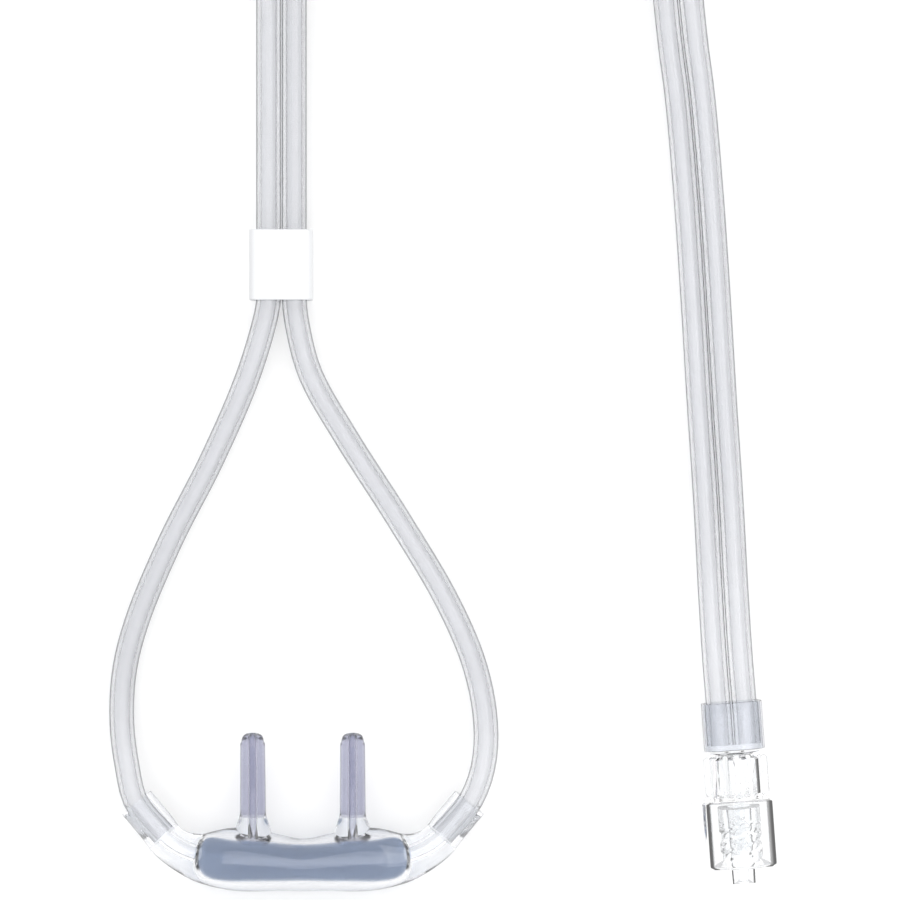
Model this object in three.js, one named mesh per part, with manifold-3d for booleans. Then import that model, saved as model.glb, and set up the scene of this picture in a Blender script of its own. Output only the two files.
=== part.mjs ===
// A carbon dioxide sampling nasal cannula, laid flat: a clear moulded nasal piece with two
// prongs, two clear tubes that run side by side through a white slider, a tied coil of the
// rest of their length, and a clear male luer lock connector on their far end.
// Millimetres, +Z up, floor at z = 0. +X is the wearer's side to side, +Y is the way the
// prongs point, and the origin lies under the middle of the nasal piece.
import * as THREE from "three";
import { mergeVertices } from "three/addons/utils/BufferGeometryUtils.js";
import Module from "manifold-3d";

// Driving dimensions

const gap = 0.3; // air between pieces that touch or hold one another
const tubeDiameter = 3.1;
const pairPitch = 3.2; // between the centres of the two tubes where they run side by side
const tubeSides = 8;

const prongSpacing = 12.4; // centre to centre
const prongTipY = 9.8;
const prongTipRadius = 1.53;
const prongRootRadius = 1.65;
const prongFlareRadius = 2.35; // where a prong grows out of the body
const prongTipRise = 1.3; // how far a tip curls up from the body's middle plane
const prongBoreRadius = 0.4;
const prongTipRounding = 1.15; // length of the domed tip
const prongTipShoulder = 0.12; // step where the dome starts
const prongTipNarrowing = 0.6; // how much narrower the dome's end is
const prongFlareHeight = 3;
const prongFlareSink = 1; // how far below the body's top edge the flare starts
const prongCurlStart = 1; // the Y from which a prong curls up
const prongCurlReach = 1.35; // the curl's whole length, in lengths of the prong

const bodyBottomY = -9.8; // lower edge of the nasal piece, as seen from above
const bodyHumpRadius = 3.95; // half height of the body under each prong
const bodyWaistRadius = 3.25; // half height between the prongs
const bodyHalfThickness = 3.4; // half of its thickness, up from the floor
const bodyEndThinning = 0.15;
const humpOutside = 1.6; // from a prong's middle out to the body's fullest place
const bendOutside = 0.9; // where the body turns towards its socket
const bendDrop = 0.85; // how far down that bend lies, from the socket's root to the hump
const taperPastRoot = 0.8; // the body narrows until this far past the socket's root
const hollowHalfLength = 13.4;
const hollowTopWall = 1.35; // above the hollow, under a prong
const hollowWaistWall = 0.65; // above the hollow, between the prongs
const hollowBottomWall = 1.05;
const hollowFaceWall = 0.85;
const hollowEndPower = 10; // how square the hollow's ends are
const hollowEndLeast = 0.06; // share of its size at the very end, squared
const cutOverrun = 1; // how far a cut runs past the face that it opens

const socketMouthX = 20.7;
const socketMouthY = 1.2;
const socketAngle = 50; // degrees above the X axis
const socketLength = 6.8;
const socketRadius = 2.3;
const socketDepth = 5.2; // how deep a tube is pushed in
const socketClearance = 0.2; // all round a tube in its socket
const linkBoreRadius = 0.75; // from a socket's floor to the hollow of the body
const linkBend = 1.5; // how far past the socket's root the link bends
const linkInset = 3; // how far inside the hollow's end it opens

const sliderLength = 8.75;
const sliderMiddleY = 68;
const sliderWall = 0.6;
const sliderSideWall = 0.5;
const sliderCorner = 0.9;
const pairX = -2.7; // middle of the straight pair that the slider runs on

const coilColumns = 3;
const coilLayers = 4;
const coilMiddleRadius = 24.8; // middle of the pair's middle column
const coilCentreY = 146;
const coilLeaveAngle = 34; // degrees below its right side, where the pair leaves it
const coilEdge = 1.2; // rounding of the coil's outline
const tieThickness = 0.6;
const tieWidth = 3.5;
const tieCorner = 2;
const tieAngles = [75, 255]; // degrees round the coil from +X

const connectorMouthX = 53.05; // where the pair enters the sleeve
const connectorMouthY = 13.85;
const connectorLean = 4.1; // degrees that the connector leans from -Y towards +X
const sleeveLength = 5.9;
const sleeveHalfWidth = 3.75;
const sleeveHalfThickness = 2.6;
const sleeveCorner = 2.2;
const sleeveDepth = 5.2; // how deep the tubes are pushed in
const sleeveClearance = 0.2;
const neckLength = 5.6;
const neckTopRadius = 3.3;
const neckBottomRadius = 3.75;
const neckBoreRadius = 1.2;
const ribCount = 10;
const ribWidth = 0.7;
const ribHeight = 0.4;
const ribRoot = 0.6; // how deep a rib is set in the neck
const ribStart = 0.6; // below the neck's top
const ribStop = 0.2; // above the collar
const collarRadius = 5.75;
const collarLength = 8.5;
const collarBoreRadius = 4.15;
const collarFloor = 1.3; // thickness of the disc behind the thread
const nozzleTipRadius = 1.97;
const nozzleRootRadius = 2.27; // the 6 per cent luer taper
const nozzleReach = 2.25; // past the collar's rim
const nozzleBoreRadius = 1.1;
const threadRadius = 0.45; // of the ridge's round section
const threadLead = 5;
const threadTurns = 0.9;
const threadStarts = 2;
const threadInset = 0.8; // behind the rim
const threadSink = 0.1; // how deep the ridge's middle lies in the bore's wall
const mouldBevel = 0.3;
const boreBevel = 0.2;
const collarBevel = 0.4;

// Worked out from them

const tubeRadius = tubeDiameter / 2;
const bodyZ = bodyHalfThickness;
const pairZ = sliderWall + gap + tubeRadius; // height of the pair in the slider and in the coil
const coilCentreX = pairX + coilMiddleRadius + (coilColumns - 1) * pairPitch;
const coilHalfWidth = coilColumns * pairPitch;
const coilOuterRadius = coilMiddleRadius + coilHalfWidth;
const coilInnerRadius = coilMiddleRadius - coilHalfWidth;
const coilBottom = tieThickness + gap;
const coilTop = coilBottom + coilLayers * pairPitch;
const connectorZ = collarRadius;

const radians = (degrees) => (degrees * Math.PI) / 180;
const point = (x, y, z) => new THREE.Vector3(x, y, z);

// Solids: booleans of closed geometries

const wasm = await Module();
wasm.setup();

function solid(geometry) {
  const bare = geometry.clone();
  bare.deleteAttribute("normal");
  bare.deleteAttribute("uv");
  const merged = mergeVertices(bare, 1e-4);
  return new wasm.Manifold(
    new wasm.Mesh({
      numProp: 3,
      vertProperties: merged.attributes.position.array,
      triVerts: new Uint32Array(merged.index.array),
    }),
  );
}

function geometryOf(manifold) {
  const { vertProperties, triVerts } = manifold.getMesh();
  const geometry = new THREE.BufferGeometry();
  geometry.setAttribute("position", new THREE.BufferAttribute(vertProperties, 3));
  geometry.setIndex(new THREE.BufferAttribute(triVerts, 1));
  geometry.computeVertexNormals();
  return geometry;
}

// The first geometry with the others joined to it, and then the cuts taken away.
function joined(parts, cuts = []) {
  const whole = parts.map(solid).reduce((a, b) => a.add(b));
  return geometryOf(cuts.map(solid).reduce((a, b) => a.subtract(b), whole));
}

// A round section carried along a plane curve. halfWidth and halfDepth give the section's half
// axes, in the curve's plane and square to it, from the share of the curve passed.
function swept(curve, planeNormal, sides, steps, halfWidth, halfDepth = halfWidth) {
  const geometry = new THREE.CylinderGeometry(1, 1, 1, sides, steps);
  const place = geometry.attributes.position;
  for (let i = 0; i < place.count; i++) {
    const share = 0.5 - place.getY(i);
    const tangent = curve.getTangentAt(share);
    const across = new THREE.Vector3().crossVectors(planeNormal, tangent);
    const at = curve
      .getPointAt(share)
      .addScaledVector(across, place.getX(i) * halfWidth(share))
      .addScaledVector(planeNormal, place.getZ(i) * halfDepth(share));
    place.setXYZ(i, at.x, at.y, at.z);
  }
  return geometry;
}

const polygon = (radius, sides) =>
  new THREE.Shape(
    Array.from({ length: sides }, (_, i) => {
      const angle = ((i + 0.5) / sides) * 2 * Math.PI;
      return new THREE.Vector2(radius * Math.cos(angle), radius * Math.sin(angle));
    }),
  );

function tubeAlong(points, steps) {
  const curve = new THREE.CatmullRomCurve3(points);
  const section = polygon(tubeRadius, tubeSides);
  return new THREE.ExtrudeGeometry(section, { steps, extrudePath: curve });
}

function roundedRectangle(width, height, corner) {
  const [x, y] = [width / 2, height / 2];
  const shape = new THREE.Shape();
  shape.moveTo(-x + corner, -y);
  shape.lineTo(x - corner, -y);
  shape.quadraticCurveTo(x, -y, x, -y + corner);
  shape.lineTo(x, y - corner);
  shape.quadraticCurveTo(x, y, x - corner, y);
  shape.lineTo(-x + corner, y);
  shape.quadraticCurveTo(-x, y, -x, y - corner);
  shape.lineTo(-x, -y + corner);
  shape.quadraticCurveTo(-x, -y, -x + corner, -y);
  return shape;
}

function prism(shape, length, curveSegments = 4) {
  const geometry = new THREE.ExtrudeGeometry(shape, {
    depth: length,
    bevelEnabled: false,
    curveSegments,
  });
  return geometry.translate(0, 0, -length / 2);
}

const mix = (a, b, share) => a + (b - a) * share;
const eased = (share) => {
  const s = Math.min(1, Math.max(0, share));
  return s * s * (3 - 2 * s);
};

const part = new THREE.Group();

function addMesh(name, geometry, colour, roughness, opacity = 1, group = part) {
  const material = new THREE.MeshStandardMaterial({
    color: colour,
    roughness,
    metalness: 0,
    transparent: opacity < 1,
    opacity,
  });
  const mesh = new THREE.Mesh(geometry, material);
  mesh.name = name;
  group.add(mesh);
  return mesh;
}

const clearSoft = { colour: 0xc9cfdc, roughness: 0.12, opacity: 0.45 };
const clearHard = { colour: 0xdfe3ea, roughness: 0.08, opacity: 0.4 };
const whitePlastic = { colour: 0xf7f7f5, roughness: 0.35 };

// Nasal piece: one soft clear moulding, hollow through, with a socket at each end for a tube

const across = point(0, 0, 1);
const socketWay = point(Math.cos(radians(socketAngle)), Math.sin(radians(socketAngle)), 0);
const socketMouth = point(socketMouthX, socketMouthY, bodyZ);
const socketRoot = socketMouth.clone().addScaledVector(socketWay, -socketLength);
const mirrored = (p) => point(-p.x, p.y, p.z);
const humpX = prongSpacing / 2 + humpOutside;
const humpY = bodyBottomY + bodyHumpRadius;
const waistY = bodyBottomY + bodyWaistRadius;

const bodyHalf = [
  socketMouth,
  socketMouth.clone().addScaledVector(socketWay, -socketLength / 2),
  socketRoot,
  point((socketRoot.x + humpX) / 2 + bendOutside, mix(socketRoot.y, humpY, bendDrop), bodyZ),
  point(humpX, humpY, bodyZ),
  point(humpX / 2, mix(humpY, waistY, 0.5), bodyZ),
];
const bodyPath = new THREE.CatmullRomCurve3([
  ...bodyHalf.map(mirrored),
  point(0, waistY, bodyZ),
  ...bodyHalf.toReversed(),
]);

// Half height and half thickness of the body at a distance x from its middle.
function bodyRadius(x, hump, waist, end) {
  const d = Math.abs(x);
  if (d < humpX) return mix(waist, hump, eased(d / humpX));
  return mix(hump, end, eased((d - humpX) / (socketRoot.x - humpX + taperPastRoot)));
}
const bodyWidthAt = (share) =>
  bodyRadius(bodyPath.getPointAt(share).x, bodyHumpRadius, bodyWaistRadius, socketRadius);
const bodyDepthAt = (share) =>
  bodyRadius(
    bodyPath.getPointAt(share).x,
    bodyHalfThickness,
    bodyHalfThickness - bodyEndThinning,
    socketRadius,
  );

// The hollow's upper edge follows the body's, and its lower edge is level. Past the humps it
// rises with the body.
const hollowBottomY = bodyBottomY + hollowBottomWall;
const hollowHumpTopY = humpY + bodyHumpRadius - hollowTopWall;
const hollowWaistTopY = waistY + bodyWaistRadius - hollowWaistWall;
const hollowTopAt = (x) => mix(hollowWaistTopY, hollowHumpTopY, eased(Math.abs(x) / humpX));
const hollowRise = (x) => mix(humpY, socketRoot.y, eased((Math.abs(x) - humpX) / (socketRoot.x - humpX)) / 2);
const hollowPath = new THREE.CatmullRomCurve3(
  [-1, -0.5, 0, 0.5, 1].map((share) => {
    const x = share * hollowHalfLength;
    return point(x, (hollowTopAt(x) + hollowBottomY) / 2 + hollowRise(x) - humpY, bodyZ);
  }),
);
const hollowEnd = (share) =>
  Math.sqrt(Math.max(hollowEndLeast, 1 - (2 * share - 1) ** hollowEndPower));
const hollowWidthAt = (share) =>
  ((hollowTopAt(hollowPath.getPointAt(share).x) - hollowBottomY) / 2) * hollowEnd(share);
const hollowDepthAt = (share) =>
  (bodyRadius(hollowPath.getPointAt(share).x, bodyHalfThickness, bodyHalfThickness, socketRadius) -
    hollowFaceWall) *
  hollowEnd(share);

function prongPath(side, rootY, tipY) {
  const x = (side * prongSpacing) / 2;
  const curlLength = prongCurlReach * (prongTipY - prongCurlStart);
  const rise = (y) => bodyZ + prongTipRise * eased((y - prongCurlStart) / curlLength);
  return new THREE.CatmullRomCurve3(
    [0, 0.25, 0.5, 0.75, 1].map((s) => {
      const y = mix(rootY, tipY, s);
      return point(x, y, rise(y));
    }),
  );
}

function prong(side) {
  const rootY = humpY;
  const path = prongPath(side, rootY, prongTipY);
  const length = path.getLength();
  const bodyTopY = humpY + bodyHumpRadius;
  const radiusAt = (share) => {
    const y = path.getPointAt(share).y;
    const past = (y - bodyTopY + prongFlareSink) / prongFlareHeight;
    const flare = (prongFlareRadius - prongRootRadius) * (1 - eased(past));
    const straight = mix(prongRootRadius, prongTipRadius, share) + flare;
    const left = (1 - share) * length;
    if (left >= prongTipRounding) return straight;
    const dome = 1 - left / prongTipRounding;
    return straight - prongTipShoulder - prongTipNarrowing * (1 - Math.sqrt(1 - dome * dome));
  };
  return swept(path, point(1, 0, 0), 16, 24, radiusAt);
}

const prongBore = (side) =>
  swept(prongPath(side, humpY, prongTipY + cutOverrun), point(1, 0, 0), 8, 8, () => prongBoreRadius);

function socketBore(side) {
  const way = side > 0 ? socketWay : mirrored(socketWay);
  const mouth = side > 0 ? socketMouth : mirrored(socketMouth);
  const seat = mouth.clone().addScaledVector(way, -socketDepth - gap);
  const outside = mouth.clone().addScaledVector(way, cutOverrun);
  return swept(new THREE.LineCurve3(seat, outside), across, 16, 1, () => tubeRadius + socketClearance);
}

function linkBore(side) {
  const way = side > 0 ? socketWay : mirrored(socketWay);
  const mouth = side > 0 ? socketMouth : mirrored(socketMouth);
  const inner = point(side * (hollowHalfLength - linkInset), humpY, bodyZ);
  const path = new THREE.QuadraticBezierCurve3(
    mouth.clone().addScaledVector(way, -socketDepth),
    mouth.clone().addScaledVector(way, -socketLength - linkBend),
    inner,
  );
  return swept(path, across, 10, 6, () => linkBoreRadius);
}

const nasalPiece = joined(
  [swept(bodyPath, across, 24, 44, bodyWidthAt, bodyDepthAt), prong(-1), prong(1)],
  [
    swept(hollowPath, across, 16, 20, hollowWidthAt, hollowDepthAt),
    ...[-1, 1].flatMap((side) => [prongBore(side), socketBore(side), linkBore(side)]),
  ],
);
addMesh("nasal_piece", nasalPiece, clearSoft.colour, clearSoft.roughness, clearSoft.opacity);

// Slider: a white rectangular sleeve that both tubes pass through, free to slide along them

const sliderWidth = pairPitch + tubeDiameter + 2 * (gap + sliderSideWall);
const sliderHeight = tubeDiameter + 2 * (gap + sliderWall);
const sliderOutline = roundedRectangle(sliderWidth, sliderHeight, sliderCorner);
sliderOutline.holes.push(
  new THREE.Path(
    roundedRectangle(pairPitch + tubeDiameter + 2 * gap, tubeDiameter + 2 * gap, tubeRadius)
      .getPoints(6)
      .reverse(),
  ),
);
const slider = addMesh(
  "slider",
  prism(sliderOutline, sliderLength, 5),
  whitePlastic.colour,
  whitePlastic.roughness,
);
slider.rotation.x = Math.PI / 2;
slider.position.set(pairX, sliderMiddleY, pairZ);

// Coil: the outer shape of the pair's turns, held by two bands

function ring(radiusIn, radiusOut, low, high, edge, segments = 40) {
  const profile = new THREE.Shape();
  profile.moveTo(radiusIn + edge, low);
  profile.lineTo(radiusOut - edge, low);
  profile.lineTo(radiusOut, low + edge);
  profile.lineTo(radiusOut, high - edge);
  profile.lineTo(radiusOut - edge, high);
  profile.lineTo(radiusIn + edge, high);
  profile.lineTo(radiusIn, high - edge);
  profile.lineTo(radiusIn, low + edge);
  profile.closePath();
  const geometry = new THREE.LatheGeometry(profile.getPoints(), segments);
  return geometry.rotateX(Math.PI / 2).translate(coilCentreX, coilCentreY, 0);
}

const coil = ring(coilInnerRadius, coilOuterRadius, coilBottom, coilTop, coilEdge);
addMesh("tube_coil", coil, clearSoft.colour, clearSoft.roughness, clearSoft.opacity);
const coilSpace = ring(
  coilInnerRadius - gap,
  coilOuterRadius + gap,
  coilBottom - gap,
  coilTop + gap,
  coilEdge,
);

tieAngles.forEach((angle, i) => {
  const inside = [2 * (coilHalfWidth + gap), coilTop - coilBottom + 2 * gap];
  const outside = inside.map((size) => size + 2 * tieThickness);
  const outline = roundedRectangle(...outside, tieCorner);
  const hole = roundedRectangle(...inside, tieCorner - tieThickness);
  outline.holes.push(new THREE.Path(hole.getPoints(5).reverse()));
  const tie = addMesh(
    `coil_tie_${i + 1}`,
    prism(outline, tieWidth, 5),
    whitePlastic.colour,
    whitePlastic.roughness,
  );
  // The outline's X runs out along the coil's radius, and its Y runs up.
  const turn = radians(angle);
  tie.rotation.set(Math.PI / 2, turn, 0, "XYZ");
  tie.position.set(
    coilCentreX + coilMiddleRadius * Math.cos(turn),
    coilCentreY + coilMiddleRadius * Math.sin(turn),
    (coilTop + coilBottom) / 2,
  );
});

// Tubes: each one stretch from its socket to the coil, and one from the coil to the connector

const straightPastSlider = 15; // the pair runs straight at least this far past the slider
const straightInCoil = 12; // and this far inside the coil's outline, where it is clipped
const routeEnd = 4; // before the coil's middle

// Points of the loop from each socket to the slider, chosen by hand.
const leftLoop = [
  point(-21.9, 5.8, 2.9),
  point(-22.6, 11.2, 2.0),
  point(-22.3, 17.5, 1.55),
  point(-20.7, 23.8, 1.55),
  point(-16.5, 33.8, 1.55),
  point(-11.5, 43.6, 1.55),
  point(-7.2, 53.4, 1.8),
  point(-4.95, 60.4, 2.35),
];
const rightLoop = [
  point(22.4, 5.6, 2.9),
  point(22.7, 11.2, 2.0),
  point(21.3, 18.3, 1.55),
  point(17.9, 26.2, 1.55),
  point(11.9, 36.3, 1.55),
  point(5.5, 46.3, 1.55),
  point(0.9, 54.4, 1.8),
  point(-0.7, 60.4, 2.35),
];
// Points of the middle of the pair, from the coil to the connector, chosen by hand.
const linePoints = [
  point(49.34, 121.1, 5.65),
  point(47.0, 115.5, 5.3),
  point(46.3, 109.0, 4.3),
  point(46.55, 102.5, 3.2),
  point(47.3, 95.5, 2.3),
  point(48.2, 88.8, 1.75),
  point(49.3, 76.3, 1.55),
  point(50.15, 63.8, 1.55),
  point(50.9, 51.3, 1.55),
  point(51.7, 38.8, 1.9),
  point(52.25, 26.5, 3.9),
  point(52.65, 19.0, 5.35),
];

const clippedByCoil = (geometry) => joined([geometry], [coilSpace]);

for (const [name, side, loop] of [
  ["left", -1, leftLoop],
  ["right", 1, rightLoop],
]) {
  const way = side > 0 ? socketWay : mirrored(socketWay);
  const mouth = side > 0 ? socketMouth : mirrored(socketMouth);
  const x = pairX + (side * pairPitch) / 2;
  const route = [
    mouth.clone().addScaledVector(way, -socketDepth),
    mouth.clone(),
    ...loop,
    point(x, sliderMiddleY - sliderLength / 2, pairZ),
    point(x, sliderMiddleY, pairZ),
    point(x, sliderMiddleY + straightPastSlider, pairZ),
    point(x, coilCentreY - coilOuterRadius + straightInCoil, pairZ),
    point(x, coilCentreY - routeEnd, pairZ),
  ];
  addMesh(
    `${name}_loop_tube`,
    clippedByCoil(tubeAlong(route, 40)),
    clearSoft.colour,
    clearSoft.roughness,
    clearSoft.opacity,
  );
}

// The pair leaves the coil's outer column on a tangent, below its right side.
const leaveRadius = coilMiddleRadius + (coilColumns - 1) * pairPitch;
const leavePoint = point(
  coilCentreX + leaveRadius * Math.cos(radians(coilLeaveAngle)),
  coilCentreY - leaveRadius * Math.sin(radians(coilLeaveAngle)),
  pairZ + pairPitch,
);

const connectorWay = point(
  Math.sin(radians(connectorLean)),
  -Math.cos(radians(connectorLean)),
  0,
);
const connectorMouth = point(connectorMouthX, connectorMouthY, connectorZ);

const pairLine = [
  leavePoint,
  ...linePoints,
  connectorMouth.clone(),
  connectorMouth.clone().addScaledVector(connectorWay, sleeveDepth),
];

for (const [name, side] of [
  ["left", -1],
  ["right", 1],
]) {
  const middle = new THREE.CatmullRomCurve3(pairLine);
  const route = pairLine.map((p, i) => {
    const tangent = middle.getTangent(i / (pairLine.length - 1));
    const flat = Math.hypot(tangent.x, tangent.y);
    const out = point(-tangent.y / flat, tangent.x / flat, 0);
    return p.clone().addScaledVector(out, (side * pairPitch) / 2);
  });
  addMesh(
    `${name}_line_tube`,
    clippedByCoil(tubeAlong(route, 34)),
    clearSoft.colour,
    clearSoft.roughness,
    clearSoft.opacity,
  );
}

// Connector: a soft sleeve round both tubes, on the neck of a moulded male luer lock

const connector = new THREE.Group();
connector.position.copy(connectorMouth);
connector.rotation.z = Math.PI + radians(connectorLean);
part.add(connector);
// In this group +Y runs from the sleeve's mouth to the nozzle.

const sleeveSpace = roundedRectangle(
  pairPitch + tubeDiameter + 2 * sleeveClearance,
  tubeDiameter + 2 * sleeveClearance,
  tubeRadius,
);
const standing = (geometry, middleY) => geometry.rotateX(Math.PI / 2).translate(0, middleY, 0);
const sleeve = joined(
  [
    standing(
      prism(
        roundedRectangle(2 * sleeveHalfWidth, 2 * sleeveHalfThickness, sleeveCorner),
        sleeveLength,
        6,
      ),
      sleeveLength / 2,
    ),
  ],
  [standing(prism(sleeveSpace, sleeveLength + 2 * cutOverrun, 5), sleeveLength / 2)],
);
addMesh("connector_sleeve", sleeve, clearSoft.colour, clearSoft.roughness, clearSoft.opacity, connector);

const neckY = sleeveLength + gap;
const collarY = neckY + neckLength;
const rimY = collarY + collarLength;
const tipY = rimY + nozzleReach;

const turned = (profile, segments) =>
  new THREE.LatheGeometry(
    profile.map(([r, y]) => new THREE.Vector2(r, y)),
    segments,
  );

const connectorProfile = [
  [neckBoreRadius, neckY],
  [neckTopRadius - mouldBevel, neckY],
  [neckTopRadius, neckY + mouldBevel],
  [neckBottomRadius, collarY - boreBevel],
  [neckBottomRadius + boreBevel, collarY],
  [collarRadius - collarBevel, collarY],
  [collarRadius, collarY + collarBevel],
  [collarRadius, rimY - mouldBevel],
  [collarRadius - mouldBevel, rimY],
  [collarBoreRadius + boreBevel, rimY],
  [collarBoreRadius, rimY - boreBevel],
  [collarBoreRadius, collarY + collarFloor],
  [nozzleRootRadius, collarY + collarFloor],
  [nozzleTipRadius, tipY],
  [nozzleBoreRadius, tipY],
  [nozzleBoreRadius, collarY],
  [neckBoreRadius, neckY],
];

const ribs = Array.from({ length: ribCount }, (_, i) => {
  const inside = neckTopRadius - ribRoot;
  const outside = neckBottomRadius + ribHeight;
  const length = neckLength - ribStart - ribStop;
  const rib = new THREE.BoxGeometry(outside - inside, length, ribWidth);
  return rib
    .translate((outside + inside) / 2, neckY + ribStart + length / 2, 0)
    .rotateY(((i + 0.5) / ribCount) * 2 * Math.PI);
});

class Helix extends THREE.Curve {
  constructor(start) {
    super();
    this.start = start;
  }
  getPoint(share, target = new THREE.Vector3()) {
    const angle = this.start + share * threadTurns * 2 * Math.PI;
    const y = rimY - threadInset - share * threadTurns * threadLead;
    const r = collarBoreRadius + threadSink;
    return target.set(r * Math.cos(angle), y, r * Math.sin(angle));
  }
}
const threads = Array.from(
  { length: threadStarts },
  (_, i) =>
    new THREE.ExtrudeGeometry(polygon(threadRadius, 6), {
      steps: 24,
      extrudePath: new Helix((i / threadStarts) * 2 * Math.PI),
    }),
);

const luer = joined([turned(connectorProfile, 36), ...ribs, ...threads]);
addMesh("luer_connector", luer, clearHard.colour, clearHard.roughness, clearHard.opacity, connector);

part.updateMatrixWorld(true);
export default part;
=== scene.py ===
import math

import bpy
import numpy as np
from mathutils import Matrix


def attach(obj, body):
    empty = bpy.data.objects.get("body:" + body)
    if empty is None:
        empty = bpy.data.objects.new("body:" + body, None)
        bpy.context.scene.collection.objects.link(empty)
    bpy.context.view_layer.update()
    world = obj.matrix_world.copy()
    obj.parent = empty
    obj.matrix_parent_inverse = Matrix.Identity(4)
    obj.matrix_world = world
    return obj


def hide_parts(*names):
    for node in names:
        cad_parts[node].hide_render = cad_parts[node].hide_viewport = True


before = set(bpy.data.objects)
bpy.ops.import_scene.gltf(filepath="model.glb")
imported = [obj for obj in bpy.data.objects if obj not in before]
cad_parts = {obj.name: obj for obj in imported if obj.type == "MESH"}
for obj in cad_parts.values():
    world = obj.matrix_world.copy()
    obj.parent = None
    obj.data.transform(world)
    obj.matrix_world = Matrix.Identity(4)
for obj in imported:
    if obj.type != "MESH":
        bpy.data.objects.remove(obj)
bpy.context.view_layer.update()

# Camera
# It looks straight down on the cannula as it lies on the table, through a long lens.
# The picture is 900 pixels across, and 8 of them are one millimetre on the table.
MM = 0.001
PICTURE = 900
PIXELS_PER_MM = 8
ORIGIN_PIXEL = (303.75, 810)  # where the part's origin lies in the picture
SENSOR = 36 * MM
LENS_MM = 180
NEAREST = 0.01  # metres, from where the camera sees
FARTHEST = 20

view_width = PICTURE / PIXELS_PER_MM * MM
lens = bpy.data.cameras.new("overhead")
lens.lens = LENS_MM
lens.sensor_width = SENSOR / MM
lens.clip_start = NEAREST
lens.clip_end = FARTHEST
camera = bpy.data.objects.new("overhead", lens)
bpy.context.collection.objects.link(camera)
camera.location = (
    (PICTURE / 2 - ORIGIN_PIXEL[0]) / PIXELS_PER_MM * MM,
    (ORIGIN_PIXEL[1] - PICTURE / 2) / PIXELS_PER_MM * MM,
    view_width * LENS_MM * MM / SENSOR,
)
bpy.context.scene.camera = camera

# The two sampling tubes
# Two clear extruded soft PVC tubes of equal length, each from a socket of the nasal piece to
# the connector. They run side by side through the slider and are wound together in one
# coil of three columns and four layers, where one crosses over the other halfway.
TUBE_RADIUS = 1.55
TUBE_BORE_RADIUS = 0.7
PITCH = 3.2
PAIR_X = -2.7
PAIR_Z = 2.45
SOCKET_MOUTH = (20.7, 1.2, 3.4)
SOCKET_ANGLE = math.radians(50)
SOCKET_DEPTH = 5.2
SLIDER_Y = 68
SLIDER_LENGTH = 8.75
STRAIGHT_PAST_SLIDER = 15
STRAIGHT_SHORT_OF_COIL = 2  # of the coil's middle
CONNECTOR_MOUTH = (53.05, 13.85, 5.75)
CONNECTOR_LEAN = math.radians(4.1)
SLEEVE_DEPTH = 5.2
SEEN_STEP = 1.4  # between the rings of a tube's surface
COIL_STEP = 2.5
LINE_START = 4  # the point at which the drawn line takes over from the coil

LEFT_LOOP = [
    (-21.9, 5.8, 2.9),
    (-22.6, 11.2, 2.0),
    (-22.3, 17.5, 1.55),
    (-20.7, 23.8, 1.55),
    (-16.5, 33.8, 1.55),
    (-11.5, 43.6, 1.55),
    (-7.2, 53.4, 1.8),
    (-4.95, 60.4, 2.35),
]
RIGHT_LOOP = [
    (22.4, 5.6, 2.9),
    (22.7, 11.2, 2.0),
    (21.3, 18.3, 1.55),
    (17.9, 26.2, 1.55),
    (11.9, 36.3, 1.55),
    (5.5, 46.3, 1.55),
    (0.9, 54.4, 1.8),
    (-0.7, 60.4, 2.35),
]
LINE = [
    (49.34, 121.1, 5.65),
    (47.0, 115.5, 5.3),
    (46.3, 109.0, 4.3),
    (46.55, 102.5, 3.2),
    (47.3, 95.5, 2.3),
    (48.2, 88.8, 1.75),
    (49.3, 76.3, 1.55),
    (50.15, 63.8, 1.55),
    (50.9, 51.3, 1.55),
    (51.7, 38.8, 1.9),
    (52.25, 26.5, 3.9),
    (52.65, 19.0, 5.35),
]

COIL_CENTRE = (28.5, 146)
COLUMN_RADII = (31.2, 24.8, 18.4)
# The column and layer of each turn, from the first to the last.
TURNS = [
    (0, 0), (1, 0), (2, 0), (2, 1), (2, 2), (2, 3),
    (1, 3), (0, 3), (0, 2), (1, 2), (1, 1), (0, 1),
]
LEAVE_ANGLE = math.radians(34)  # below the coil's right side
SHIFT_ARC = math.radians(55)  # of the arc in which a turn moves to its next place
SHIFT_STAGGER = math.radians(5.5)
SHIFT_START = math.radians(55)
CROSSING_TURN = 6
CROSSING_START = math.radians(10)
CROSSING_ARC = math.radians(70)
TURN_STEP = 2.0  # along the middle column
SHARP_TURN = math.radians(40)  # from which an edge is left sharp


def eased(share):
    """0 up to a share of 0, 1 from a share of 1, and 3 s^2 - 2 s^3 between."""
    s = np.clip(share, 0, 1)
    return s * s * (3 - 2 * s)


def spaced(line, step):
    """The same line with a point every step along it."""
    passed = np.concatenate([[0], np.cumsum(np.linalg.norm(np.diff(line, axis=0), axis=1))])
    at = np.linspace(0, passed[-1], int(round(passed[-1] / step)) + 1)
    return np.stack([np.interp(at, passed, line[:, k]) for k in range(3)], axis=1)


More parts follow.
